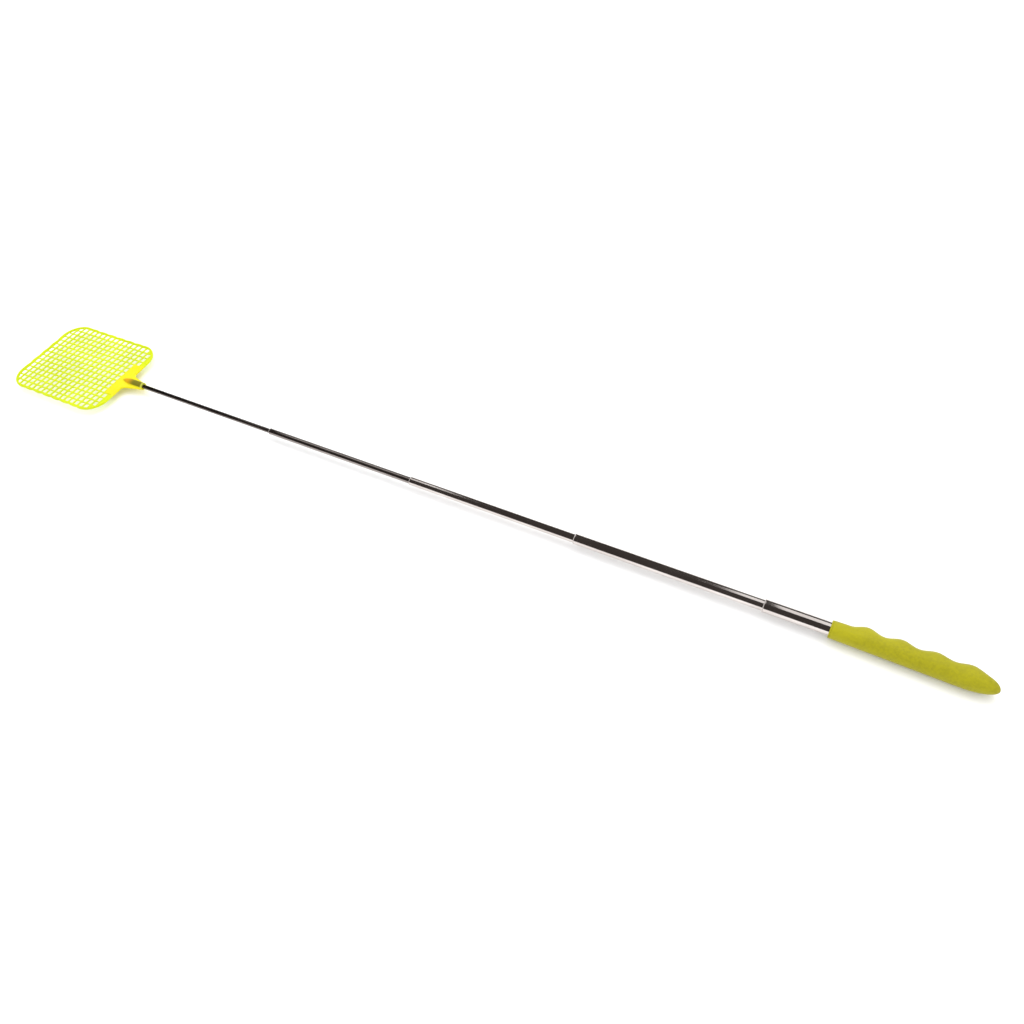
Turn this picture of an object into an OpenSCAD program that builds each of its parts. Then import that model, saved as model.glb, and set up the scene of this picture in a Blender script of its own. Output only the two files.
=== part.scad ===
// Telescopic fly swatter: a moulded mesh head on a rod of sliding steel tubes, with a soft grip.
// +X runs from the head to the grip, +Y across the head, +Z up out of the striking face.
// The origin is the middle of the bounding box in X and Y, at the height the grip rests on.

/* [Mesh head] */
// Distance from one mesh hole to the next across the head
mesh_pitch = 6.05; // [6:0.05:6.2]
// Distance from one mesh hole to the next along the rod
row_pitch = 6.24; // [6.2:0.01:6.3]
// Side of a square mesh hole
hole_side = 4.7; // [4:0.1:4.8]
// Thickness of the mesh
mesh_thickness = 1.2; // [1:0.1:1.8]
// Thickness of the outer rim and of the solid web beside the neck
rim_thickness = 2.4; // [2:0.1:3]
// Width of the rim inside its scallops
rim_width = 1.5; // [1.2:0.1:1.5]
// Height of one scallop of the rim
scallop_rise = 0.9; // [0.4:0.1:1.2]
// Distance from the rod's axis down to the middle of the mesh
mesh_drop = 1; // [0:0.1:1.2]
// Outer diameter of the barrel that holds the rod
barrel_d = 6.6; // [6:0.1:6.9]
// Outer diameter of the collar at the barrel's mouth
collar_d = 7.2; // [7:0.1:8.4]
// Depth of the rod's socket in the barrel
socket_depth = 14.5; // [10:0.5:16]

/* [Telescopic rod] */
// Diameter of the solid tip rod
rod_d = 4; // [3.8:0.1:4.4]
// Growth in diameter from one stage to the next
stage_step_d = 1.5; // [1.4:0.1:1.6]
// Wall thickness of every tube
tube_wall = 0.4; // [0.38:0.01:0.42]
// Length of tip rod that shows when pulled out
tip_shown = 156; // [154:1:170]
// Length of tube 2 that shows when pulled out
tube_2_shown = 150; // [149:1:170]
// Length of tube 3 that shows when pulled out
tube_3_shown = 151; // [149:1:170]
// Length of tube 4 that shows when pulled out
tube_4_shown = 148; // [142:1:150]
// Length of the outer tube that shows in front of the grip
outer_shown = 46.5; // [40:0.5:60]
// Length of each stage that stays inside the next one
stage_overlap = 9; // [8.5:0.5:12]

/* [Grip] */
// Length of the grip
grip_length = 109.2; // [108:0.1:120]
// Diameter of the grip's front end
grip_front_d = 13; // [12:0.5:14]
// Reach of the grip below the axis near its rear end, on the palm side
palm_reach = 8.45; // [7.5:0.05:9]
// Half height of the grip near its rear end
grip_half_height = 7.6; // [7:0.1:9]
// Height of the first finger ridge over its valleys
first_ridge = 3.9; // [2:0.1:5]
// Height of the last finger ridge over its valleys
last_ridge = 2.1; // [1:0.1:4]
// Distance from one finger ridge to the next
finger_pitch = 22.6; // [20:0.1:23]

/* [Hidden] */
$fn = 64;
eps = 0.01;

// Mesh head, counted in holes from the middle of the mesh
far_rows = 9;
near_rows = 8;
half_columns = 7;
web_half_columns = 3;
row_shift = 1.2;
far_span = 2 * mesh_pitch;
side_span = 2 * row_pitch;
side_phase = 0.6 * row_pitch;
head_far = 10.07 * row_pitch;
head_near = 9.14 * row_pitch;
head_side = 7.86 * mesh_pitch;
barrel_mouth = 12.53 * row_pitch;
barrel_nose = 8.06 * row_pitch;
corner_r = 20;
lobe_depth = 6;
lobe_seat = 0.3;
neck_root = 1.45 * mesh_pitch;
neck_tip = 0.62 * mesh_pitch;
neck_setback = 0.6;
nose_length = 10;
nose_tip_r = 1.1;
collar_length = 2.4;
press = 0.02;

// Stages are numbered from the tip rod, 1, to the outer tube, 5
guide_clearance = 0.05;
lip_length = 1.2;
lip_round = 0.2;
shim_length = 4.4;
shim_gap = 1.2;
shim_start = 1.6;
shim_hole_r = 0.8;
shim_nub_r = 0.7;
ring_length = 1.6;
ring_slot = 0.8;
flare_length = 0.6;
axial_play = 0.1;
plug_length = 3;
key_groove_length = 1;
key_groove_depth = 0.2;
tube_in_grip = 98;

// Grip, measured from its front end
front_chamfer = 0.6;
grip_side_count = 28;
body_rings = 36;
nose_rings = 9;
nose_start = 85;
nose_fullness = 2.4;
nose_shift = 1.9;
first_valley = 11.9;
ridge_count = 4;
valley_reach = 7;
valley_settle = 30;
back_settle = 89;

// Places along X
shown = [tip_shown, tube_2_shown, tube_3_shown, tube_4_shown];
rod_shown = tip_shown + tube_2_shown + tube_3_shown + tube_4_shown + outer_shown;
total_length = head_far + barrel_mouth + rod_shown + grip_length;
mesh_x = head_far - total_length / 2;
neck_x = mesh_x + barrel_mouth;
axis_z = grip_half_height;

function sum_shown(count) = count == 0 ? 0 : shown[count - 1] + sum_shown(count - 1);
function mouth_x(stage) = neck_x + sum_shown(stage - 1);
function stage_r(stage) = (rod_d + (stage - 1) * stage_step_d) / 2;
function bore_r(stage) = stage_r(stage) - tube_wall;
function base_x(stage) = mouth_x(stage + 1) + stage_overlap;
function shim_x(stage) = mouth_x(stage + 1) + shim_start;

grip_x = mouth_x(5) + outer_shown;
tube_end_x = grip_x + tube_in_grip;

// Places its children with their own +Z along the rod's axis, towards the grip, from x
module along_rod(x) {
    translate([x, 0, axis_z]) rotate([0, 90, 0]) children();
}

// ---- Mesh head ----

// One shallow arc of the rim, its crest at the origin and its body towards -Y. It is a little wider than
// its span, so it crosses its neighbours, and the block behind it ends a little below their crossings
module lobe(span, inset) {
    lobe_r = span * span / (8 * scallop_rise) + scallop_rise / 2;
    lobe_half = span / 2 + lobe_seat;
    intersection() {
        translate([0, -lobe_r]) circle(lobe_r - inset, $fn = 180);
        translate([-lobe_half, -lobe_depth]) square([2 * lobe_half, lobe_depth + eps]);
    }
}

// Outline of the head, drawn in by inset on every side
module head_outline(inset) {
    valley = scallop_rise + lobe_seat + inset;
    far_centre = head_far - corner_r;
    near_centre = head_near - corner_r;
    side_centre = head_side - corner_r;
    translate([-head_far + valley, -side_centre])
        square([head_far - valley + head_near - inset, 2 * side_centre]);
    translate([-far_centre, -head_side + valley])
        square([far_centre + near_centre, 2 * (head_side - valley)]);
    for (s = [-1, 1]) {
        for (x = [-far_centre, near_centre]) {
            translate([x, s * side_centre]) circle(corner_r - inset, $fn = 120);
        }
        for (k = [-3:2]) {
            translate([k * side_span + side_phase, s * head_side]) mirror([0, s < 0 ? 1 : 0])
                lobe(side_span, inset);
        }
    }
    for (k = [-2:2]) {
        translate([-head_far, k * far_span]) rotate(90) lobe(far_span, inset);
    }
}

// True where the mesh has a hole: not at its outermost corners, nor in the solid web beside the neck
function has_hole(i, j) =
    !((i == -far_rows || i == near_rows) && abs(j) == half_columns)
    && !(i == near_rows && abs(j) <= web_half_columns);

module mesh_holes() {
    for (i = [-far_rows:near_rows]) {
        for (j = [-half_columns:half_columns]) {
            if (has_hole(i, j)) {
                translate([i * row_pitch - row_shift, j * mesh_pitch]) square(hole_side, center = true);
            }
        }
    }
}

module head_plate() {
    translate([0, 0, -mesh_thickness / 2]) linear_extrude(mesh_thickness) difference() {
        head_outline(0);
        intersection() {
            mesh_holes();
            head_outline(rim_width);
        }
    }
}

module head_rim() {
    translate([0, 0, -rim_thickness / 2]) linear_extrude(rim_thickness) difference() {
        head_outline(0);
        head_outline(rim_width);
    }
}

module neck_web() {
    web_start = (near_rows - 0.5) * row_pitch - row_shift;
    web_side = (web_half_columns + 0.5) * mesh_pitch;
    translate([0, 0, -rim_thickness / 2]) linear_extrude(rim_thickness) {
        translate([web_start, -web_side]) square([head_near - web_start, 2 * web_side]);
        polygon([
            [head_near - eps, -neck_root],
            [barrel_mouth - neck_setback, -neck_tip],
            [barrel_mouth - neck_setback, neck_tip],
            [head_near - eps, neck_root]
        ]);
    }
}

module barrel() {
    rotate([0, 90, 0]) {
        translate([0, 0, barrel_nose]) cylinder(h = nose_length, r1 = nose_tip_r, r2 = barrel_d / 2);
        translate([0, 0, barrel_nose + nose_length])
            cylinder(h = barrel_mouth - barrel_nose - nose_length, d = barrel_d);
        translate([0, 0, barrel_mouth - collar_length]) cylinder(h = collar_length, d = collar_d);
    }
}

module swatter_head() {
    color("#d8f01c") translate([mesh_x, 0, axis_z]) difference() {
        union() {
            translate([0, 0, -mesh_drop]) {
                head_plate();
                head_rim();
                neck_web();
            }
            barrel();
        }
        translate([barrel_mouth - socket_depth, 0, 0]) rotate([0, 90, 0])
            cylinder(h = socket_depth + 1, r = rod_d / 2 - press);
    }
}

// ---- Telescopic rod ----

// Radial holes that the two shims' nubs drop into
module nub_holes(stage) {
    translate([0, 0, shim_x(stage) + shim_length / 2 - mouth_x(stage)])
        rotate([0, 90, 0]) cylinder(h = 4 * stage_r(stage), r = shim_hole_r, center = true);
}

// A tube from its rolled mouth to its flared base, along +Z
module stage_tube(stage, tube_length, flare_r) {
    r = stage_r(stage);
    lip_r = stage_r(stage - 1) + guide_clearance;
    rotate_extrude() polygon([
        [lip_r, lip_round],
        [lip_r + lip_round, 0],
        [r - lip_round, 0],
        [r, lip_round],
        [r, tube_length - flare_length],
        [flare_r, tube_length - flare_length],
        [flare_r, tube_length],
        [bore_r(stage), tube_length],
        [bore_r(stage), lip_length],
        [lip_r, lip_length]
    ]);
}

module sliding_tube(stage) {
    color("#9a9590") along_rod(mouth_x(stage)) difference() {
        stage_tube(stage, base_x(stage) - mouth_x(stage), bore_r(stage + 1) - 2 * guide_clearance);
        nub_holes(stage);
    }
}

module tip_rod() {
    rod_length = socket_depth + tip_shown + stage_overlap;
    color("#9a9590") along_rod(neck_x - socket_depth) difference() {
        union() {
            cylinder(h = rod_length, d = rod_d);
            translate([0, 0, rod_length - flare_length])
                cylinder(h = flare_length, r = bore_r(2) - 2 * guide_clearance);
        }
        translate([0, 0, rod_length - stage_overlap + shim_start + shim_length / 2])
            rotate([0, 90, 0]) cylinder(h = 2 * rod_d, r = shim_hole_r, center = true);
    }
}

module tube_2() sliding_tube(2);
module tube_3() sliding_tube(3);
module tube_4() sliding_tube(4);

module outer_tube() {
    r = stage_r(5);
    color("#b4b0aa") along_rod(mouth_x(5)) difference() {
        stage_tube(5, outer_shown + tube_in_grip, r);
        translate([0, 0, outer_shown]) difference() {
            cylinder(h = key_groove_length, r = r + 1);
            translate([0, 0, -1]) cylinder(h = key_groove_length + 2, r = r - key_groove_depth);
        }
    }
}

module base_plug() {
    color("#3a3a3a") along_rod(tube_end_x - plug_length) {
        cylinder(h = plug_length, r = bore_r(5) + press);
    }
}

// A half shell of spring brass round a stage's base, with one nub that drops into its tube
module friction_shim(stage, side) {
    r_in = stage_r(stage) + eps;
    r_out = bore_r(stage + 1) - guide_clearance;
    color("#c9a24a") along_rod(shim_x(stage)) rotate([0, 0, side > 0 ? 0 : 180]) {
        difference() {
            cylinder(h = shim_length, r = r_out);
            translate([0, 0, -1]) cylinder(h = shim_length + 2, r = r_in);
            translate([-shim_gap / 2, -2 * r_out, -1]) cube([2 * r_out, 4 * r_out, shim_length + 2]);
        }
        intersection() {
            translate([-r_out - 1, 0, shim_length / 2]) rotate([0, 90, 0])
                cylinder(h = 1 + r_out - r_in + 2 * tube_wall / 3, r = shim_nub_r);
            cylinder(h = shim_length, r = (r_in + r_out) / 2);
        }
    }
}

// A split ring that turns and slides in the next tube while its own stage turns in it
module guide_ring(stage) {
    r_in = stage_r(stage) + guide_clearance;
    r_out = bore_r(stage + 1) - guide_clearance;
    color("#e8e4d8") along_rod(base_x(stage) - flare_length - axial_play - ring_length) difference() {
        cylinder(h = ring_length, r = r_out);
        translate([0, 0, -1]) cylinder(h = ring_length + 2, r = r_in);
        translate([0, -ring_slot / 2, -1]) cube([2 * r_out, ring_slot, ring_length + 2]);
    }
}

module tip_rod_guide_ring() guide_ring(1);
module tip_rod_upper_shim() friction_shim(1, 1);
module tip_rod_lower_shim() friction_shim(1, -1);
module tube_2_guide_ring() guide_ring(2);
module tube_2_upper_shim() friction_shim(2, 1);
module tube_2_lower_shim() friction_shim(2, -1);
module tube_3_guide_ring() guide_ring(3);
module tube_3_upper_shim() friction_shim(3, 1);
module tube_3_lower_shim() friction_shim(3, -1);
module tube_4_guide_ring() guide_ring(4);
module tube_4_upper_shim() friction_shim(4, 1);
module tube_4_lower_shim() friction_shim(4, -1);

// ---- Grip ----

// How full the grip still is at g, from 1 on the body to 0 at the very end
function fullness(g) = g <= nose_start ? 1
    : sqrt(max(0, 1 - pow((g - nose_start) / (grip_length - nose_start), nose_fullness)));

function settle(from, to, g, over) = from + (to - from) * min(1, g / over);

// Height of the finger ridges at g, which shrink towards the rear
function ridge_height(g) =
    settle(first_ridge, last_ridge, max(0, g - first_valley), ridge_count * finger_pitch);

function ridge(g) = g < first_valley || g > first_valley + ridge_count * finger_pitch ? 0
    : ridge_height(g) * (1 - cos(360 * (g - first_valley) / finger_pitch)) / 2;

function finger_reach(g) = settle(grip_front_d / 2, valley_reach, g, valley_settle) + ridge(g);
function palm_side(g) = settle(grip_front_d / 2, palm_reach, g, back_settle);
function half_height(g) = settle(grip_front_d / 2, grip_half_height, g, back_settle);

// One ring: half an ellipse on the finger side joined to half an ellipse on the palm side
function grip_ring(g, shrink) = [
    for (k = [0:grip_side_count - 1])
        let (a = 360 * k / grip_side_count)
        let (reach = cos(a) > 0 ? finger_reach(g) : palm_side(g))
        let (full = fullness(g))
        [
            g,
            (reach - shrink) * full * cos(a) - nose_shift * (1 - full),
            (half_height(g) - shrink) * full * sin(a)
        ]
];

function body_g(k) = front_chamfer + (nose_start - front_chamfer) * k / body_rings;
function nose_g(k) = nose_start + (grip_length - nose_start) * sin(90 * k / nose_rings);

module grip_solid() {
    rings = [
        grip_ring(0, front_chamfer),
        for (k = [0:body_rings]) grip_ring(body_g(k), 0),
        for (k = [1:nose_rings - 1]) grip_ring(nose_g(k), 0)
    ];
    n = grip_side_count;
    last = len(rings) - 1;
    tip = len(rings) * n;
    points = concat([for (ring = rings) for (p = ring) p], [[grip_length, -nose_shift, 0]]);
    faces = concat(
        [[for (k = [0:n - 1]) n - 1 - k]],
        [
            for (i = [0:last - 1])
                for (k = [0:n - 1])
                    [i * n + k, i * n + (k + 1) % n, (i + 1) * n + (k + 1) % n, (i + 1) * n + k]
        ],
        [for (k = [0:n - 1]) [last * n + k, last * n + (k + 1) % n, tip]]
    );
    polyhedron(points, [for (f = faces) [for (v = [len(f) - 1:-1:0]) f[v]]], convexity = 6);
}

module grip() {
    color("#c9c42c") translate([grip_x, 0, axis_z]) difference() {
        grip_solid();
        translate([-1, 0, 0]) rotate([0, 90, 0])
            cylinder(h = tube_in_grip + 1, r = stage_r(5) - press);
    }
}

swatter_head();
tip_rod();
tube_2();
tube_3();
tube_4();
outer_tube();
base_plug();
grip();
tip_rod_guide_ring();
tip_rod_upper_shim();
tip_rod_lower_shim();
tube_2_guide_ring();
tube_2_upper_shim();
tube_2_lower_shim();
tube_3_guide_ring();
tube_3_upper_shim();
tube_3_lower_shim();
tube_4_guide_ring();
tube_4_upper_shim();
tube_4_lower_shim();
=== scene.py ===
"""Looks of the telescopic fly swatter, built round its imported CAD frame. Metres, +Z up."""

import math

import bmesh
import bpy
import numpy as np
from mathutils import Matrix, Vector


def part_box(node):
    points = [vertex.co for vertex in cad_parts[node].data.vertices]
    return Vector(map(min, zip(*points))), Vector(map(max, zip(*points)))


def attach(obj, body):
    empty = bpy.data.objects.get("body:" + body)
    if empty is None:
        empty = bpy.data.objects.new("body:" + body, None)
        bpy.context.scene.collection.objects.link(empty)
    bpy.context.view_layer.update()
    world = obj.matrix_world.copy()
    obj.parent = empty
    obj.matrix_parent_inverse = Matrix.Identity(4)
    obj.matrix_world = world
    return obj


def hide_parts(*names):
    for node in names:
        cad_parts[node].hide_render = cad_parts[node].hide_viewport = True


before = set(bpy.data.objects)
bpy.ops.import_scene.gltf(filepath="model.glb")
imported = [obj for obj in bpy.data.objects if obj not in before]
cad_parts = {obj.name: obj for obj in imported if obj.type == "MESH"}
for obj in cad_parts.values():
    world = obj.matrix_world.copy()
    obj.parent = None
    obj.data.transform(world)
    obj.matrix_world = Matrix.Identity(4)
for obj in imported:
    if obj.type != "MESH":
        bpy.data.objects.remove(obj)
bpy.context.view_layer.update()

MM = 0.001
FULL_TURN = 2 * math.pi

# ---- Places, read from the CAD frame ----

head_low, head_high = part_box("swatter_head")
tube_low, tube_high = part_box("outer_tube")
grip_low, grip_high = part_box("grip")
AXIS_Z = (tube_low.z + tube_high.z) / 2

# The head's far edge, its barrel's mouth and nose, and its sides, counted in hole pitches
# from the point that the mesh is measured from.
FAR_HOLES = 10.07
MOUTH_HOLES = 12.53
NOSE_HOLES = 8.06
SIDE_HOLES = 7.86
ROW_PITCH = (head_high.x - head_low.x) / (FAR_HOLES + MOUTH_HOLES)
PITCH = (head_high.y - head_low.y) / (2 * SIDE_HOLES)
MESH_X = head_low.x + FAR_HOLES * ROW_PITCH
MESH_DROP = 1.0 * MM
MESH_Z = AXIS_Z - MESH_DROP
NECK_X = head_high.x

# ---- Head, sizes in metres and rows of holes counted from the far end towards the grip ----

FAR_ROW = -9
NEAR_ROW = 8
LAST_COLUMN = 7
WEB_COLUMN = 3
HOLE_HALF = 2.29 * MM
HOLE_CORNER = 0.9 * MM
MESH_HALF_T = 0.6 * MM
RIM_HALF_T = 1.2 * MM
RIM_HALF_W = 1.0 * MM
RIM_POINTS = 16
RIM_POWER = 0.75
ROW_SHIFT = 1.2 * MM
HEAD_FAR = FAR_HOLES * ROW_PITCH
HEAD_NEAR = 9.14 * ROW_PITCH
HEAD_SIDE = SIDE_HOLES * PITCH
CORNER_R = 20 * MM
SCALLOP_RISE = 0.9 * MM
FAR_SPAN = 2 * PITCH
SIDE_SPAN = 2 * ROW_PITCH
SIDE_PHASE = 0.6 * ROW_PITCH
FAR_CRESTS = range(-2, 3)
SIDE_CRESTS = range(-3, 3)
OUTLINE_RAYS = 4001
OUTLINE_STEP = 0.6 * MM
SOFTENINGS = 4
SIDE_POINTS = 6
BORDER = {"far": 1.3 * MM, "near": 4.2 * MM, "side": 0.6 * MM}
BORDER_MARGIN = 1.1 * MM
HOLE_MARGIN = 2.3 * MM

# How far a hole widens at each height, given as a share of half the mesh's thickness.
LIPS = [(0.42 * MM, 0.98), (0.2 * MM, 0.86), (0.06 * MM, 0.5), (0, 0)]
LIPS += [(grow, -height) for grow, height in reversed(LIPS[:-1])]

# ---- Web, neck and barrel. WEB_LEVELS are insets at heights from -1 to 1, and the neck's
# widths and fillet are in pitches ----

WEB_LAP = 0.3 * MM
WEB_INSET = 0.7 * MM
WEB_CORNER = 1.2 * MM
WEB_HALF_T = RIM_HALF_T - 0.1 * MM
WEB_LEVELS = [(0.45 * MM, -1.0), (0.15 * MM, -0.9), (0, -0.62)]
WEB_LEVELS += [(inset, -height) for inset, height in reversed(WEB_LEVELS)]
NECK_LAP = 3 * MM
NECK_END = 2.1 * MM
NECK_STEPS = 40
NECK_POINTS = 28
NECK_HALF_T = 1.15 * MM
NECK_WIDE = 1.42
NECK_SLIM = 0.62
NECK_TAPER = 0.92
FILLET_RISE = 0.42
FILLET_RUN = 0.16
NOSE_LENGTH = 10 * MM
NOSE_STEPS = 16
NOSE_POWER = 0.62
BARREL_R = 3.3 * MM
COLLAR_R = 3.6 * MM
COLLAR_ROUND = 0.5 * MM
MOUTH_ROUND = 0.6 * MM
SOCKET_R = 2.02 * MM
SOCKET_DEPTH = 14.4 * MM

# ---- Rod and grip, sizes in metres ----

STAGES = ["tip_rod", "tube_2", "tube_3", "tube_4", "outer_tube"]
STAGE_BODY = {
    "tip_rod": "tip_rod_section",
    "tube_2": "tube_2_section",
    "tube_3": "tube_3_section",
    "tube_4": "tube_4_section",
    "outer_tube": "handle",
}
TUBE_WALL = 0.4 * MM
RUNNING_GAP = 0.05 * MM
FLANGE = 0.6 * MM
CHAMFER = 0.15 * MM
SPAN_RINGS = 6
STAGE_R = {name: (2.0 + 0.75 * k) * MM for k, name in enumerate(STAGES)}


# ---- Mesh helpers ----


def add_object(name, vertices, faces):
    """A new mesh object with outward faces and doubled points merged."""
    mesh = bpy.data.meshes.new(name)
    mesh.from_pydata([tuple(v) for v in vertices], [], [tuple(f) for f in faces])
    work = bmesh.new()
    work.from_mesh(mesh)
    bmesh.ops.remove_doubles(work, verts=work.verts, dist=1e-7)
    bmesh.ops.recalc_face_normals(work, faces=work.faces)
    work.to_mesh(mesh)
    work.free()
    piece = bpy.data.objects.new(name, mesh)
    bpy.context.scene.collection.objects.link(piece)
    return piece


def shade(piece, sharp_degrees):
    """Smooth shading, with edges sharper than the given angle kept crisp."""
    mesh = piece.data
    mesh.polygons.foreach_set("use_smooth", [True] * len(mesh.polygons))
    mesh.set_sharp_from_angle(angle=math.radians(sharp_degrees))
    mesh.update()


def band(here, there, count, closed=True):
    """Faces between two loops of count points that start at here and at there."""
    steps = count if closed else count - 1
    afters = [(k + 1) % count for k in range(steps)]
    return [(here + k, here + after, there + after, there + k) for k, after in enumerate(afters)]


def skin_rings(rings, closed_path=False):
    """Points and faces of a skin over rings of equally many points, capped unless its path is closed."""
    count = len(rings[0])
    points = [p for ring in rings for p in ring]
    faces = []
    last = len(rings) if closed_path else len(rings) - 1
    for i in range(last):
        faces += band(i * count, (i + 1) % len(rings) * count, count)
    if not closed_path:
        faces.append(tuple(range(count)))
        faces.append(tuple(range(len(points) - count, len(points))))
    return points, faces


def lathe(name, profile, closed, segments=96):
    """Turns (x, radius) points round the rod's axis. closed joins the last point to the first."""
    rings = []
    for k in range(segments):
        turn = FULL_TURN * k / segments
        c, s = math.cos(turn), math.sin(turn)
        rings.append([(x, r * c, AXIS_Z + r * s) for x, r in profile])
    points = [p for ring in rings for p in ring]
    count = len(profile)
    faces = []
    for i in range(segments):
        faces += band(i * count, (i + 1) % segments * count, count, closed)
    piece = add_object(name, points, faces)
    dissolve_flat_points(piece)
    return piece


def dissolve_flat_points(piece):
    """Removes faces without area, which a profile leaves where it touches the axis."""
    work = bmesh.new()
    work.from_mesh(piece.data)
    bmesh.ops.dissolve_degenerate(work, edges=work.edges, dist=1e-8)
    bmesh.ops.recalc_face_normals(work, faces=work.faces)
    work.to_mesh(piece.data)
    work.free()


def arc(centre, radius, start, end, steps):
    """Points (x, r) on an arc, its angles in degrees."""
    turns = [math.radians(start + (end - start) * k / steps) for k in range(steps + 1)]
    return [(centre[0] + radius * math.cos(t), centre[1] + radius * math.sin(t)) for t in turns]


def squared_ring(count, across_power, up_power):
    """Points round a unit circle pressed towards a square, which a lower power does more."""
    points = []
    for k in range(count):
        turn = FULL_TURN * (k + 0.5) / count
        across = math.copysign(abs(math.cos(turn)) ** across_power, math.cos(turn))
        up = math.copysign(abs(math.sin(turn)) ** up_power, math.sin(turn))
        points.append((across, up))
    return points


def fuse(base, others):
    """Unites closed shells into the first one."""
    for other in others:
        cut = base.modifiers.new("fuse", "BOOLEAN")
        cut.operation = "UNION"
        cut.solver = "MANIFOLD"
        cut.object = other
        bpy.context.view_layer.update()
        graph = bpy.context.evaluated_depsgraph_get()
        mesh = bpy.data.meshes.new_from_object(base.evaluated_get(graph))
        base.modifiers.clear()
        base.data = mesh
        bpy.data.objects.remove(other)
    return base


# ---- Head outline ----


def rectangle_exit(way, low, high):
    """How far rays from the origin run before they leave a rectangle that holds it."""
    ahead = np.array(high) / np.maximum(way, 1e-12)
    behind = np.array(low) / np.minimum(way, -1e-12)
    return np.where(way >= 0, ahead, behind).min(axis=1)


def circle_exit(way, centre, radius, strip=None):
    """How far rays from the origin run before they leave a disc, and 0 where they miss it.

    A strip (axis, low, high) keeps only the rays that leave the disc inside it.
    """
    centre = np.array(centre)
    along = way @ centre
    square = along**2 - centre @ centre + radius**2
    reach = np.where(square > 0, along + np.sqrt(np.maximum(square, 0)), 0)
    if strip is not None:
        side, low, high = strip
        place = way[:, side] * reach
        reach = np.where((place >= low) & (place <= high), reach, 0)
    return np.where(reach > 0, reach, 0)


def outline_reach(way):
    """Reach of the head's edge along each ray: a block with round corners and shallow scallops."""
    side_r, far_r = (span**2 / (8 * SCALLOP_RISE) + SCALLOP_RISE / 2 for span in (SIDE_SPAN, FAR_SPAN))
    far_x, near_x, side_y = HEAD_FAR - CORNER_R, HEAD_NEAR - CORNER_R, HEAD_SIDE - CORNER_R
    flat_far, flat_side = HEAD_FAR - SCALLOP_RISE, HEAD_SIDE - SCALLOP_RISE
    reaches = [
        rectangle_exit(way, (-flat_far, -side_y), (HEAD_NEAR, side_y)),
        rectangle_exit(way, (-far_x, -flat_side), (near_x, flat_side)),
    ]
    for side in (-1, 1):
        reaches.append(circle_exit(way, (near_x, side * side_y), CORNER_R))
        reaches.append(circle_exit(way, (-far_x, side * side_y), CORNER_R))
        for k in SIDE_CRESTS:
            crest = k * SIDE_SPAN + SIDE_PHASE
            strip = (0, crest - SIDE_SPAN / 2, crest + SIDE_SPAN / 2)
            reaches.append(circle_exit(way, (crest, side * (HEAD_SIDE - side_r)), side_r, strip))
    for k in FAR_CRESTS:
        crest = k * FAR_SPAN
        strip = (1, crest - FAR_SPAN / 2, crest + FAR_SPAN / 2)
        reaches.append(circle_exit(way, (far_r - HEAD_FAR, crest), far_r, strip))
    return np.max(reaches, axis=0)


def head_outline():
    """Evenly spaced points along the head's edge, its cusps softened as a mould would."""
    turns = np.linspace(0, FULL_TURN, OUTLINE_RAYS)
    way = np.stack([np.cos(turns), np.sin(turns)], axis=1)
    edge = way * outline_reach(way)[:, None]
    run = np.concatenate([[0], np.cumsum(np.linalg.norm(np.diff(edge, axis=0), axis=1))])
    count = int(run[-1] / OUTLINE_STEP)
    places = np.linspace(0, run[-1], count, endpoint=False)
    path = np.stack([np.interp(places, run, edge[:, axis]) for axis in (0, 1)], axis=1)
    for _ in range(SOFTENINGS):
        path = (np.roll(path, 1, axis=0) + 2 * path + np.roll(path, -1, axis=0)) / 4
    return path


# ---- Head shells ----


def round_square(u, v, half, corner):
    """Moves a point of the unit square's edge to a rounded square."""
    flat = half - corner
    x, y = u * half, v * half
    cx, cy = min(max(x, -flat), flat), min(max(y, -flat), flat)
    dx, dy = x - cx, y - cy
    away = math.hypot(dx, dy)
    return cx + dx / away * corner, cy + dy / away * corner


def square_walk():
    """Points round the unit square's edge, SIDE_POINTS to a side."""
    steps = [2 * k / SIDE_POINTS - 1 for k in range(SIDE_POINTS)]
    bottom = [(s, -1) for s in steps]
    right = [(1, s) for s in steps]
    top = [(-s, 1) for s in steps]
    left = [(-1, -s) for s in steps]
    return bottom + right + top + left


def has_cell(i, j):
    """Whether the mesh has a cell in row i and column j."""
    return FAR_ROW <= i <= NEAR_ROW and abs(j) <= LAST_COLUMN


def has_hole(i, j):
    """Whether that cell is open: the corner cells and those in the web are solid."""
    at_corner = i in (FAR_ROW, NEAR_ROW) and abs(j) == LAST_COLUMN
    in_web = i == NEAR_ROW and abs(j) <= WEB_COLUMN
    return not at_corner and not in_web


def inside_corner(x, y, margin):
    """Keeps a point of the mesh at least margin inside the head's round corners."""
    side_x = 1 if x > 0 else -1
    centre_x = (HEAD_NEAR if x > 0 else HEAD_FAR) - CORNER_R
    centre_y = HEAD_SIDE - CORNER_R
    dx, dy = abs(x) - centre_x, abs(y) - centre_y
    away = math.hypot(dx, dy)
    limit = CORNER_R - margin
    if dx <= 0 or dy <= 0 or away <= limit:
        return x, y
    return side_x * (centre_x + dx / away * limit), math.copysign(centre_y + dy / away * limit, y)


def border_shift(x, y):
    """How far a point on the mesh's own border moves outwards, so that the rim covers it."""
    quarter = 0.25  # of a cell, far enough into each cell that meets at the point
    out_x = out_y = 0
    for side_x in (-1, 1):
        for side_y in (-1, 1):
            i = round((x + ROW_SHIFT) / ROW_PITCH + side_x * quarter)
            j = round(y / PITCH + side_y * quarter)
            if not has_cell(i, j):
                out_x += side_x
                out_y += side_y
    shift_x = 0 if out_x == 0 else (BORDER["near"] if out_x > 0 else -BORDER["far"])
    shift_y = 0 if out_y == 0 else math.copysign(BORDER["side"], out_y)
    return shift_x, shift_y


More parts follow.
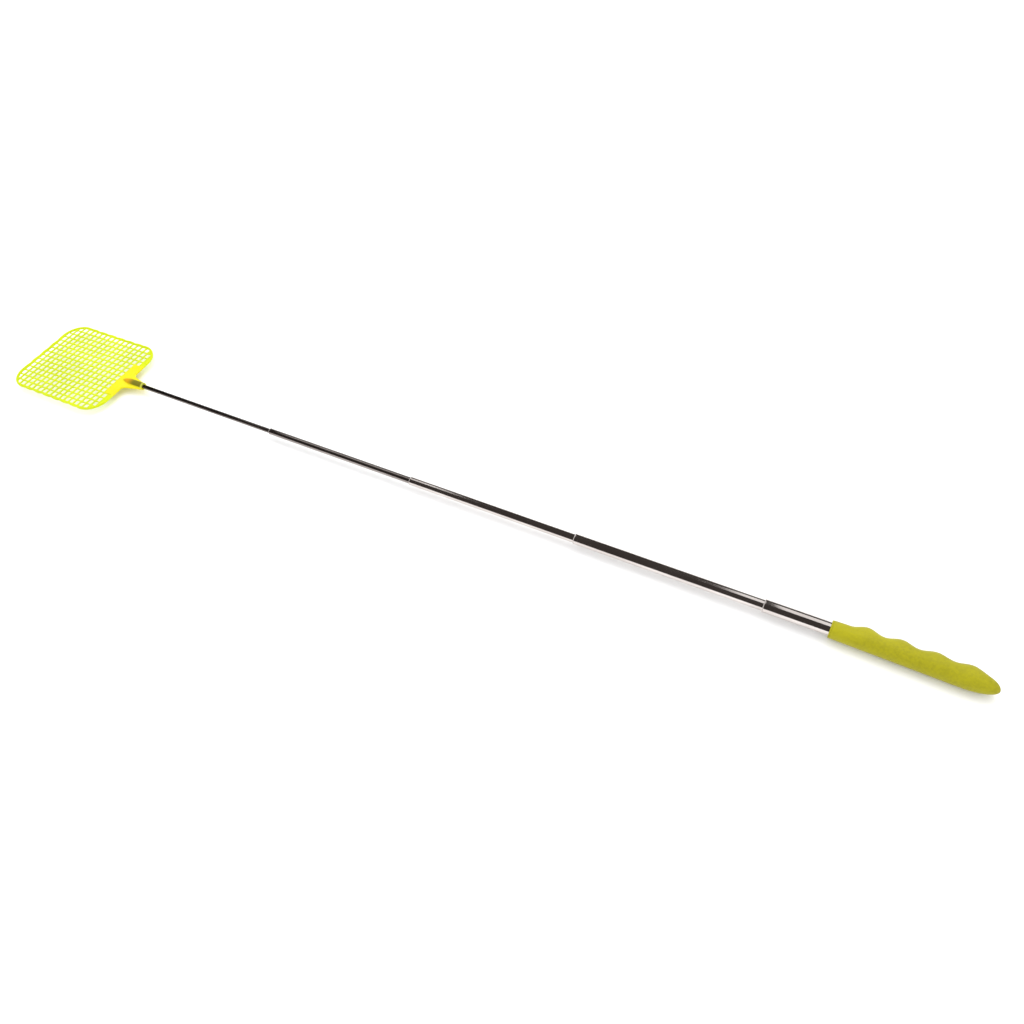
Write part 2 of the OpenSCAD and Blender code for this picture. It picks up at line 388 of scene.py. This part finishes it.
def cell_edge(i, j, walk):
    """The square border of one cell, shared with its neighbours."""
    points = []
    for u, v in walk:
        x, y = (i + u / 2) * ROW_PITCH - ROW_SHIFT, (j + v / 2) * PITCH
        shift_x, shift_y = border_shift(x, y)
        points.append(inside_corner(x + shift_x, y + shift_y, BORDER_MARGIN))
    return points


def cell_hole(i, j, walk, grow):
    """The rounded square hole of one cell, widened by grow."""
    points = []
    for u, v in walk:
        dx, dy = round_square(u, v, HOLE_HALF + grow, HOLE_CORNER + grow)
        x, y = i * ROW_PITCH - ROW_SHIFT + dx, j * PITCH + dy
        points.append(inside_corner(x, y, HOLE_MARGIN - grow))
    return points


def cell_loops(i, j, walk):
    """A cell's loops and heights, from its upper border through its hole to its lower border."""
    edge = cell_edge(i, j, walk)
    loops = [(edge, 1)]
    if has_hole(i, j):
        loops += [(cell_hole(i, j, walk, grow), height) for grow, height in LIPS]
    loops.append((edge, -1))
    return loops


def note_sides(uses, edge, first, last):
    """Lists the sides of a cell's border under their places, where a neighbour's sides join them."""
    count = len(edge)
    for k in range(count):
        after = (k + 1) % count
        ends = [tuple(round(c, 7) for c in edge[end]) for end in (k, after)]
        side = (first + k, first + after, last + k, last + after)
        uses.setdefault(tuple(sorted(ends)), []).append(side)


def border_walls(uses):
    """Upright faces on the sides that only one cell has."""
    alone = [shared[0] for shared in uses.values() if len(shared) == 1]
    return [(top_a, top_b, low_b, low_a) for top_a, top_b, low_a, low_b in alone]


def mesh_shell():
    """The open mesh: every rib with a rounded section, walled off at its own border."""
    walk = square_walk()
    count = len(walk)
    points, faces, uses = [], [], {}
    for i in range(FAR_ROW, NEAR_ROW + 1):
        for j in range(-LAST_COLUMN, LAST_COLUMN + 1):
            loops = cell_loops(i, j, walk)
            first = len(points)
            last = first + (len(loops) - 1) * count
            for loop, height in loops:
                points += [(MESH_X + x, y, MESH_Z + height * MESH_HALF_T) for x, y in loop]
            if has_hole(i, j):
                for here in range(first, last, count):
                    faces += band(here, here + count, count)
            else:
                faces.append(tuple(range(first, first + count)))
                faces.append(tuple(range(last, last + count)))
            note_sides(uses, loops[0][0], first, last)
    faces += border_walls(uses)
    return add_object("mesh_shell", points, faces)


def rim_shell():
    """The raised bead that follows the scalloped edge."""
    path = head_outline()
    ahead = np.roll(path, -1, axis=0) - np.roll(path, 1, axis=0)
    ahead /= np.linalg.norm(ahead, axis=1)[:, None]
    inward = np.stack([-ahead[:, 1], ahead[:, 0]], axis=1)
    section = squared_ring(RIM_POINTS, RIM_POWER, RIM_POWER)
    rings = []
    for place, into in zip(path, inward):
        ring = []
        for across, up in section:
            x, y = place + into * (RIM_HALF_W * (1 + across))
            ring.append((MESH_X + x, y, MESH_Z + RIM_HALF_T * up))
        rings.append(ring)
    return add_object("rim_shell", *skin_rings(rings, closed_path=True))


def web_shell():
    """The solid web beside the neck, a slab with rounded edges."""
    side = (WEB_COLUMN + 0.5) * PITCH + WEB_LAP
    low = ((NEAR_ROW - 0.5) * ROW_PITCH - ROW_SHIFT - WEB_LAP, -side)
    high = (HEAD_NEAR - WEB_INSET, side)
    rings = []
    for inset, height in WEB_LEVELS:
        ring = []
        for corner in range(4):
            cx = high[0] if corner in (0, 3) else low[0]
            cy = high[1] if corner in (0, 1) else low[1]
            sx, sy = (-1 if cx == high[0] else 1), (-1 if cy == high[1] else 1)
            for k in range(7):
                turn = math.radians(90 * corner + 15 * k)
                x = cx + sx * WEB_CORNER + (WEB_CORNER - inset) * math.cos(turn)
                y = cy + sy * WEB_CORNER + (WEB_CORNER - inset) * math.sin(turn)
                ring.append((MESH_X + x, y, MESH_Z + height * WEB_HALF_T))
        rings.append(ring)
    return add_object("web_shell", *skin_rings(rings))


def neck_shell():
    """The flat flare from the web to the barrel's mouth, its root filleted into the head's edge."""
    start, end = HEAD_NEAR - NECK_LAP, MOUTH_HOLES * ROW_PITCH - NECK_END
    section = squared_ring(NECK_POINTS, 0.35, 0.45)
    rings = []
    for step in range(NECK_STEPS + 1):
        x = start + (end - start) * step / NECK_STEPS
        share = (x - HEAD_NEAR) / (end - HEAD_NEAR)
        half = PITCH * (NECK_WIDE + (NECK_SLIM - NECK_WIDE) * max(share, 0) ** NECK_TAPER)
        half += FILLET_RISE * PITCH * math.exp(-max(x - HEAD_NEAR, 0) / (FILLET_RUN * PITCH))
        rings.append([(MESH_X + x, half * across, MESH_Z + NECK_HALF_T * up) for across, up in section])
    return add_object("neck_shell", *skin_rings(rings))


def barrel_shell():
    """The bullet-shaped barrel round the rod, with a collar at its mouth and a socket in it."""
    nose = MESH_X + NOSE_HOLES * ROW_PITCH
    mouth = NECK_X
    profile = []
    for k in range(NOSE_STEPS + 1):
        share = (k / NOSE_STEPS) ** 1.5
        profile.append((nose + NOSE_LENGTH * share, BARREL_R * share**NOSE_POWER))
    profile.append((mouth - 4.2 * MM, BARREL_R))
    profile.append((mouth - 2.8 * MM, BARREL_R + 0.08 * MM))
    profile += reversed(arc((mouth - 1.8 * MM, COLLAR_R - COLLAR_ROUND), COLLAR_ROUND, 90, 150, 6))
    profile += reversed(arc((mouth - MOUTH_ROUND, COLLAR_R - MOUTH_ROUND), MOUTH_ROUND, 0, 90, 8))
    profile += [(mouth, SOCKET_R + 0.5 * MM), (mouth - 0.15 * MM, SOCKET_R + 0.15 * MM)]
    profile += [(mouth - 0.5 * MM, SOCKET_R), (mouth - SOCKET_DEPTH, SOCKET_R)]
    profile.append((mouth - SOCKET_DEPTH, 0))
    return lathe("barrel_shell", profile, closed=False, segments=64)


def build_head():
    """The whole moulded head as one skin."""
    head = mesh_shell()
    fuse(head, [rim_shell(), web_shell(), neck_shell(), barrel_shell()])
    head.name = "moulded_head"
    shade(head, 50)
    return head


# ---- Telescopic rod ----


def mouth_profile(x, r, lip_r):
    """Outside to inside over a mouth at x: a slim raised bead, then the bore's round lip."""
    bead = 0.5 * MM
    proud = 0.1 * MM
    points = [(x + 1.3 * MM, r), (x + 1.02 * MM, r - 0.04 * MM)]
    points += arc((x + bead, r + proud - bead), bead, 50, 180, 12)
    points += arc((x + 0.2 * MM, lip_r + 0.2 * MM), 0.2 * MM, 180, 270, 5)
    return points


def build_tube(name, inner):
    """One tube with its rolled mouth, its bore and, where it slides, its flared base."""
    low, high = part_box(name)
    r = STAGE_R[name]
    bore = r - TUBE_WALL
    flare = (high.z - low.z) / 2
    guide = STAGE_R[inner] + RUNNING_GAP
    front, back = low.x, high.x
    profile = mouth_profile(front, r, guide)
    profile += [(front + 1.1 * MM, guide), (front + 1.3 * MM, bore), (back, bore)]
    if flare > r + 0.01 * MM:
        profile += [(back, flare), (back - FLANGE, flare), (back - FLANGE, r)]
    else:
        profile += [(back, r - CHAMFER), (back - CHAMFER, r)]
    span = back - front
    profile += [(back - span * k / SPAN_RINGS, r) for k in range(1, SPAN_RINGS)]
    piece = lathe("steel_" + name, profile, closed=True)
    shade(piece, 35)
    return piece


def build_tip_rod():
    """The solid rod from inside the head's barrel to its riveted end."""
    low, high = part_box("tip_rod")
    r = STAGE_R["tip_rod"]
    head_r = (high.z - low.z) / 2
    front, back = low.x + 0.2 * MM, high.x
    span = back - front
    profile = [(front, 0), (front, r - 0.3 * MM), (front + 0.3 * MM, r)]
    profile += [(front + span * k / SPAN_RINGS, r) for k in range(1, SPAN_RINGS)]
    profile += [(back - FLANGE, r), (back - FLANGE, head_r), (back, head_r), (back, 0)]
    piece = lathe("steel_tip_rod", profile, closed=False, segments=64)
    shade(piece, 35)
    return piece


# ---- Grip, its places measured from its front end ----

GRIP_LENGTH = grip_high.x - grip_low.x
GRIP_FRONT_R = 6.5 * MM
VALLEY_REACH = 7 * MM
VALLEY_SETTLE = 30 * MM
PALM_REACH = 8.45 * MM
PALM_SETTLE = 89 * MM
GRIP_HALF_HEIGHT = (grip_high.z - grip_low.z) / 2
FIRST_RIDGE = 3.9 * MM
LAST_RIDGE = 2.1 * MM
FINGER_PITCH = 22.6 * MM
FIRST_VALLEY = 11.9 * MM
RIDGES = 4
TAIL_START = 85 * MM
TAIL_POWER = 2.4
TAIL_SHIFT = 1.9 * MM
BODY_STEPS = 150
TAIL_STEPS = 40
GRIP_POINTS = 112
FRONT_ROUND = 0.9 * MM
FRONT_STEPS = 6
SEAM_RISE = 0.05 * MM
SEAM_WIDTH = 0.03
BORE_TIGHT = 0.02 * MM
BORE_PLACES = (60 * MM, 20 * MM, 1.2 * MM)


def settle(start, end, g, over):
    """A value that goes evenly from start to end as g grows to over, and then stays."""
    return start + (end - start) * min(1, g / over)


def ridge(g):
    """Height of the finger ridges at g, which shrink towards the rear."""
    if g < FIRST_VALLEY or g > FIRST_VALLEY + RIDGES * FINGER_PITCH:
        return 0
    along = (g - FIRST_VALLEY) / FINGER_PITCH
    height = settle(FIRST_RIDGE, LAST_RIDGE, along, RIDGES)
    return height * (1 - math.cos(FULL_TURN * along)) / 2


def fullness(g):
    """1 on the grip's body, falling to 0 at its very end."""
    if g <= TAIL_START:
        return 1
    u = (g - TAIL_START) / (GRIP_LENGTH - TAIL_START)
    return math.sqrt(max(0, 1 - u**TAIL_POWER))


def grip_ring(g, shrink=0):
    """One ring of the grip: a finger half and a palm half, each with a fine raised parting line."""
    full = fullness(g)
    fingers = settle(GRIP_FRONT_R, VALLEY_REACH, g, VALLEY_SETTLE) + ridge(g)
    palm = settle(GRIP_FRONT_R, PALM_REACH, g, PALM_SETTLE)
    height = settle(GRIP_FRONT_R, GRIP_HALF_HEIGHT, g, PALM_SETTLE)
    ring = []
    for k in range(GRIP_POINTS):
        turn = FULL_TURN * k / GRIP_POINTS
        c, s = math.cos(turn), math.sin(turn)
        reach = fingers if c > 0 else palm
        seam = SEAM_RISE * math.exp(-((s / SEAM_WIDTH) ** 2)) * min(1, full * 2)
        y = (reach - shrink + seam) * full * c - TAIL_SHIFT * (1 - full)
        z = (height - shrink) * full * s
        ring.append((grip_low.x + g, y, AXIS_Z + z))
    return ring


def bore_ring(g, r):
    """One ring of the grip's bore, round the rod's axis."""
    turns = [FULL_TURN * k / GRIP_POINTS for k in range(GRIP_POINTS)]
    return [(grip_low.x + g, r * math.cos(turn), AXIS_Z + r * math.sin(turn)) for turn in turns]


def build_grip():
    """The soft grip: a round front rim with the tube's socket in it, four ridges and a bullet nose."""
    tube_r = STAGE_R["outer_tube"]
    rings = [bore_ring(tube_high.x - grip_low.x, tube_r - BORE_TIGHT)]
    rings += [bore_ring(g, tube_r - BORE_TIGHT) for g in BORE_PLACES]
    rings += [bore_ring(0.5 * MM, tube_r + 0.15 * MM), bore_ring(0.1 * MM, tube_r + 0.5 * MM)]
    for k in range(FRONT_STEPS + 1):
        turn = math.radians(90 * k / FRONT_STEPS)
        rings.append(grip_ring(FRONT_ROUND * (1 - math.sin(turn)), FRONT_ROUND * (1 - math.cos(turn))))
    for k in range(1, BODY_STEPS + 1):
        rings.append(grip_ring(FRONT_ROUND + (TAIL_START - FRONT_ROUND) * k / BODY_STEPS))
    for k in range(1, TAIL_STEPS):
        share = math.sin(math.pi / 2 * k / TAIL_STEPS)
        rings.append(grip_ring(TAIL_START + (GRIP_LENGTH - TAIL_START) * share))
    piece = add_object("soft_grip", *skin_rings(rings))
    shade(piece, 45)
    return piece


# ---- Material helpers ----


def linear(red, green, blue):
    """A scene-linear colour from the 0 to 255 values an eye would name."""
    shares = [v / 255 for v in (red, green, blue)]
    return tuple(s / 12.92 if s <= 0.04045 else ((s + 0.055) / 1.055) ** 2.4 for s in shares) + (1,)


class Nodes:
    """A material's node tree, with short ways to add and join nodes."""

    def __init__(self, name):
        self.material = bpy.data.materials.new(name)
        self.material.use_nodes = True
        self.tree = self.material.node_tree
        self.shader = self.tree.nodes["Principled BSDF"]

    def add(self, kind, **values):
        node = self.tree.nodes.new(kind)
        for key, value in values.items():
            setattr(node, key, value)
        return node

    def join(self, source, target):
        self.tree.links.new(source, target)

    def place(self, scale=(1, 1, 1)):
        """The piece's own coordinates, stretched."""
        where = self.add("ShaderNodeTexCoord")
        stretch = self.add("ShaderNodeMapping")
        stretch.inputs["Scale"].default_value = scale
        self.join(where.outputs["Object"], stretch.inputs["Vector"])
        return stretch.outputs["Vector"]

    def noise(self, place, scale, detail, rough=0.55):
        node = self.add("ShaderNodeTexNoise")
        node.inputs["Scale"].default_value = scale
        node.inputs["Detail"].default_value = detail
        node.inputs["Roughness"].default_value = rough
        self.join(place, node.inputs["Vector"])
        return node.outputs["Fac"]

    def axis(self, letter):
        """One coordinate of the piece, in metres."""
        split = self.add("ShaderNodeSeparateXYZ")
        self.join(self.place(), split.inputs["Vector"])
        return split.outputs[letter]

    def spread(self, value, low, high, out_low=0, out_high=1):
        node = self.add("ShaderNodeMapRange", interpolation_type="SMOOTHSTEP")
        node.inputs["From Min"].default_value = low
        node.inputs["From Max"].default_value = high
        node.inputs["To Min"].default_value = out_low
        node.inputs["To Max"].default_value = out_high
        self.join(value, node.inputs["Value"])
        return node.outputs["Result"]

    def maths(self, operation, first, second):
        node = self.add("ShaderNodeMath", operation=operation)
        for socket, value in zip(node.inputs, (first, second)):
            if isinstance(value, (int, float)):
                socket.default_value = value
            else:
                self.join(value, socket)
        return node.outputs["Value"]

    def mix(self, share, first, second):
        """Blends two colours, each a fixed one or another node's output."""
        node = self.add("ShaderNodeMix", data_type="RGBA")
        self.join(share, node.inputs["Factor"])
        for socket, value in ((node.inputs[6], first), (node.inputs[7], second)):
            if isinstance(value, tuple):
                socket.default_value = value
            else:
                self.join(value, socket)
        return node.outputs[2]

    def bump(self, height, strength, distance, before=None):
        node = self.add("ShaderNodeBump")
        node.inputs["Strength"].default_value = strength
        node.inputs["Distance"].default_value = distance
        self.join(height, node.inputs["Height"])
        if before is not None:
            self.join(before, node.inputs["Normal"])
        return node.outputs["Normal"]

    def edges(self, low=0.52, high=0.6):
        """1 on convex edges, 0 elsewhere, found by pointiness; callers paint them lighter as wear and
        painted highlight.
        """
        geometry = self.add("ShaderNodeNewGeometry")
        return self.spread(geometry.outputs["Pointiness"], low, high)

    def set(self, **values):
        for key, value in values.items():
            self.shader.inputs[key.replace("_", " ")].default_value = value

    def finish(self, colour, roughness, normal):
        for source, name in ((colour, "Base Color"), (roughness, "Roughness"), (normal, "Normal")):
            self.join(source, self.shader.inputs[name])
        return self.material


# ---- Materials ----


def mesh_plastic():
    """Fluorescent yellow moulded plastic. On the barrel's top, amber is the thick plastic's deeper tone
    with painted shade, olive is painted shade where the rod darkens the clear plastic, and the collar
    has a painted highlight.
    """
    n = Nodes("mesh_plastic")
    fine = n.noise(n.place(), 900, 4)
    broad = n.noise(n.place(), 38, 2)
    along, across, up = n.axis("X"), n.axis("Y"), n.axis("Z")
    colour = n.mix(n.spread(broad, 0.35, 0.65), linear(186, 200, 6), linear(196, 209, 9))
    web_start = MESH_X + (NEAR_ROW - 0.5) * ROW_PITCH - ROW_SHIFT
    side = n.maths("ABSOLUTE", across, 0)
    solid = n.maths("MULTIPLY", n.spread(along, web_start - 2.5 * MM, web_start + 3 * MM),
                    n.spread(side, 3.1 * PITCH, 4.0 * PITCH, 1, 0))
    colour = n.mix(solid, colour, linear(216, 206, 18))
    # Painted light and shade, on the barrel's top only: amber mixes the thick plastic's deeper tone with
    # painted shade, olive is painted shade where the rod lies under the clear plastic, and the paler
    # colour at the mouth is a painted highlight on the collar.
    nose, socket = MESH_X + NOSE_HOLES * ROW_PITCH, NECK_X - 13.5 * MM
    amber, olive, pale_highlight = linear(200, 150, 12), linear(110, 106, 22), linear(176, 178, 70)
    tone = n.mix(n.spread(along, socket - 6 * MM, socket + 3 * MM), amber, olive)
    tone = n.mix(n.spread(along, NECK_X - 1.3 * MM, NECK_X - 0.9 * MM), tone, pale_highlight)
    on_top = n.spread(up, AXIS_Z + 0.2 * MM, AXIS_Z + 1.5 * MM)
    near = n.spread(side, 2.9 * MM, 3.7 * MM, 1, 0)
    on_crown = n.maths("MULTIPLY", on_top, near)
    barrel_painted_light = n.maths("MULTIPLY", on_crown, n.spread(along, nose + 0.5 * MM, nose + 5 * MM))
    colour = n.mix(barrel_painted_light, colour, tone)
    rough = n.spread(fine, 0.3, 0.7, 0.32, 0.46)
    normal = n.bump(fine, 0.12, 0.06 * MM, n.bump(broad, 0.2, 0.3 * MM))
    n.set(Subsurface_Weight=0.15, Subsurface_Scale=1.5 * MM, Specular_IOR_Level=0.22)
    n.shader.inputs["Subsurface Radius"].default_value = (1.0, 0.9, 0.15)
    # Painted glow: the plastic's own colour is also emitted faintly, brightening it beyond what the
    # lamps give.
    n.join(colour, n.shader.inputs["Emission Color"])
    n.set(Emission_Strength=0.1)
    return n.finish(colour, rough, normal)


def polished_steel(name, dark, light, roughness, mouth_x=None):
    """Drawn and polished steel: fine lengthwise lines, faint clouding, lighter convex edges of wear and
    painted highlight, and at mouth_x a rougher, less metallic band that paints the rolled mouth's
    highlight.
    """
    n = Nodes(name)
    lines = n.noise(n.place((6, 700, 700)), 1.5, 3)
    clouds = n.noise(n.place((30, 120, 120)), 1, 3)
    rubs = n.noise(n.place((500, 40, 40)), 1, 2)
    edge_wear_and_highlight = n.edges(0.53, 0.62)
    colour = n.mix(n.spread(clouds, 0.35, 0.68), dark, light)
    # Lighter convex edges: partly wear, partly painted highlight.
    colour = n.mix(n.maths("MULTIPLY", edge_wear_and_highlight, 0.6), colour, linear(236, 232, 228))
    rough = n.maths("ADD", n.spread(lines, 0.3, 0.7, roughness, roughness + 0.04),
                    n.spread(rubs, 0.55, 0.8, 0, 0.04))
    normal = n.bump(lines, 0.02, 0.01 * MM)
    n.set(Metallic=1.0)
    if mouth_x is not None:
        # Painted highlight: at the mouth the steel turns rougher, less metallic and a fixed grey, so the
        # band lights up as the rolled bead's bright line.
        lip = n.spread(n.axis("X"), mouth_x + 0.5 * MM, mouth_x + 0.65 * MM, 1, 0)
        colour = n.mix(lip, colour, linear(186, 178, 174))
        rough = n.maths("ADD", rough, n.maths("MULTIPLY", lip, 0.45))
        n.join(n.spread(lip, 0, 1, 1, 0.25), n.shader.inputs["Metallic"])
    return n.finish(colour, rough, normal)


def soft_grip():
    """Soft-touch olive-yellow rubber: fine dimpled grain, faint mottling, and a painted highlight on the
    ridge crests and convex edges, the edges also standing for wear.
    """
    n = Nodes("grip_soft")
    mottle = n.noise(n.place(), 640, 4, 0.6)
    broad = n.noise(n.place((20, 60, 60)), 1.2, 2)
    grain = n.add("ShaderNodeTexVoronoi", feature="SMOOTH_F1")
    grain.inputs["Scale"].default_value = 1900
    n.join(n.place(), grain.inputs["Vector"])
    deep, body, pale_highlight = linear(146, 141, 3), linear(160, 154, 4), linear(184, 178, 16)
    colour = n.mix(n.spread(mottle, 0.3, 0.7), deep, body)
    colour = n.mix(n.maths("MULTIPLY", n.spread(broad, 0.4, 0.7), 0.5), colour, linear(172, 166, 8))
    # Painted highlight: the ridge crests on the finger side, which face the light, and the convex edges,
    # partly as wear, get the paler colour.
    ridge_highlight = n.spread(n.axis("Y"), VALLEY_REACH + 0.6 * MM, VALLEY_REACH + FIRST_RIDGE)
    colour = n.mix(n.maths("MULTIPLY", ridge_highlight, 0.55), colour, pale_highlight)
    colour = n.mix(n.maths("MULTIPLY", n.edges(), 0.5), colour, pale_highlight)
    rough = n.spread(mottle, 0.25, 0.75, 0.5, 0.66)
    normal = n.bump(grain.outputs["Distance"], 0.28, 0.12 * MM, n.bump(mottle, 0.16, 0.25 * MM))
    n.set(Sheen_Weight=0.08, Sheen_Roughness=0.45, Specular_IOR_Level=0.25)
    return n.finish(colour, rough, normal)


def hidden_plastic(name, dark, light, scale):
    """Moulded nylon inside the tubes, faintly grained."""
    n = Nodes(name)
    fine = n.noise(n.place(), scale, 4)
    colour = n.mix(n.spread(fine, 0.3, 0.7), dark, light)
    rough = n.spread(fine, 0.3, 0.7, 0.38, 0.55)
    return n.finish(colour, rough, n.bump(fine, 0.2, 0.05 * MM))


def spring_brass():
    """The shims' rolled brass strip."""
    n = Nodes("shim_brass")
    lines = n.noise(n.place((20, 700, 700)), 2, 3)
    colour = n.mix(n.spread(lines, 0.3, 0.7), linear(176, 140, 70), linear(206, 174, 100))
    n.set(Metallic=1.0)
    return n.finish(colour, n.spread(lines, 0.3, 0.7, 0.26, 0.4), n.bump(lines, 0.1, 0.03 * MM))


def floor_paper():
    """Matt white paper."""
    n = Nodes("floor_paper")
    fine = n.noise(n.place(), 60, 3)
    colour = n.mix(fine, (0.93, 0.93, 0.93, 1), (0.96, 0.96, 0.96, 1))
    return n.finish(colour, n.spread(fine, 0, 1, 0.85, 0.95), n.bump(fine, 0.02, 0.1 * MM))


def dress(piece, material):
    """Gives a piece its one material."""
    piece.data.materials.clear()
    piece.data.materials.append(material)


def dress_cad(node, material):
    """Gives a CAD node that stays in view its better material."""
    for place in range(len(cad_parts[node].material_slots)):
        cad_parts[node].material_slots[place].material = material


# ---- Stage, light and camera ----


def add_floor():
    """The white paper that the part lies on."""
    half = 6.0
    corners = [(-half, -half, 0), (half, -half, 0), (half, half, 0), (-half, half, 0)]
    floor = add_object("floor", corners, [(0, 1, 2, 3)])
    dress(floor, floor_paper())


def add_area(name, place, target, size, power, glossy=True):
    """A soft box at place that faces target; glossy tells whether polished steel mirrors it."""
    data = bpy.data.lights.new(name, "AREA")
    data.shape = "RECTANGLE"
    data.size, data.size_y = size
    data.energy = power
    lamp = bpy.data.objects.new(name, data)
    lamp.location = place
    lamp.rotation_euler = (Vector(target) - Vector(place)).to_track_quat("-Z", "Y").to_euler()
    lamp.visible_glossy = glossy
    bpy.context.scene.collection.objects.link(lamp)


def add_lights():
    """Big soft boxes over the part, and a dim room round them for the steel to mirror."""
    world = bpy.data.worlds.new("room")
    world.use_nodes = True
    tree = world.node_tree
    ray = tree.nodes.new("ShaderNodeLightPath")
    tone = tree.nodes.new("ShaderNodeMix")
    tone.data_type = "RGBA"
    tone.inputs[6].default_value = (1.15, 1.15, 1.15, 1)
    tone.inputs[7].default_value = (0.055, 0.048, 0.045, 1)
    tree.links.new(ray.outputs["Is Glossy Ray"], tone.inputs["Factor"])
    tree.links.new(tone.outputs[2], tree.nodes["Background"].inputs["Color"])
    bpy.context.scene.world = world
    add_area("softbox", (-0.45, 0.62, 1.2), (0.0, 0.0, 0.0), (3.0, 1.2), 8, glossy=False)
    add_area("near_strip", (0.52, 0.62, 1.2), (0.52, 0.0, 0.0), (0.76, 1.35), 3.3)
    add_area("far_strip", (-0.95, 0.62, 1.2), (-0.95, 0.0, 0.0), (0.7, 1.0), 2.0)
    add_area("key", (-0.2, 0.9, 1.6), (0, 0, 0), (1.0, 0.6), 3.5, glossy=False)
    add_area("fill", (0.4, -1.3, 0.9), (0, 0, 0), (1.4, 0.6), 1.5, glossy=False)


def add_camera():
    """The camera at the photograph's angle, with its small roll."""
    neck = Vector((NECK_X, 0, AXIS_Z))
    place = neck + Vector((639.82, -351.24, 527.8)) * MM
    aim = neck + Vector((399.79, 4.08, 0)) * MM
    roll = math.radians(-8.338)
    data = bpy.data.cameras.new("camera")
    data.sensor_width = 36
    data.lens = 29.88
    data.clip_start = 0.01
    camera = bpy.data.objects.new("camera", data)
    turn = (aim - place).to_track_quat("-Z", "Y").to_matrix().to_4x4()
    spin = turn @ Matrix.Rotation(roll, 4, "Z")
    camera.rotation_euler = spin.to_euler()
    camera.location = place
    bpy.context.scene.collection.objects.link(camera)
    bpy.context.scene.camera = camera
    bpy.context.scene.view_settings.view_transform = "Standard"


# ---- Assembly ----

add_camera()
add_lights()
add_floor()

BRIGHT = (linear(206, 198, 194), linear(222, 215, 211), 0.1)
# tube_2's finish: a darker copy of the same polished steel, painted shade standing in for its darker
# reflections, and a little rougher.
SHADED_STEEL = (linear(142, 134, 130), linear(160, 152, 148), 0.14)
ROD_STEEL = polished_steel("rod_steel", linear(100, 92, 88), linear(122, 114, 110), 0.2)

head = build_head()
dress(head, mesh_plastic())
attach(head, "tip_rod_section")
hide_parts("swatter_head")

rod = build_tip_rod()
dress(rod, ROD_STEEL)
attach(rod, STAGE_BODY["tip_rod"])
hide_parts("tip_rod")

for inner, name in zip(STAGES, STAGES[1:]):
    tube = build_tube(name, inner)
    finish = SHADED_STEEL if name == "tube_2" else BRIGHT
    dress(tube, polished_steel(name + "_steel", *finish, mouth_x=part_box(name)[0].x))
    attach(tube, STAGE_BODY[name])
    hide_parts(name)

grip = build_grip()
dress(grip, soft_grip())
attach(grip, "handle")
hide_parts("grip")

RING = hidden_plastic("ring_plastic", linear(58, 58, 60), linear(84, 84, 86), 700)
PLUG = hidden_plastic("plug_plastic", linear(196, 194, 186), linear(222, 220, 212), 500)
BRASS = spring_brass()
dress_cad("base_plug", PLUG)
for name in STAGES[:-1]:
    dress_cad(name + "_guide_ring", RING)
    dress_cad(name + "_upper_shim", BRASS)
    dress_cad(name + "_lower_shim", BRASS)
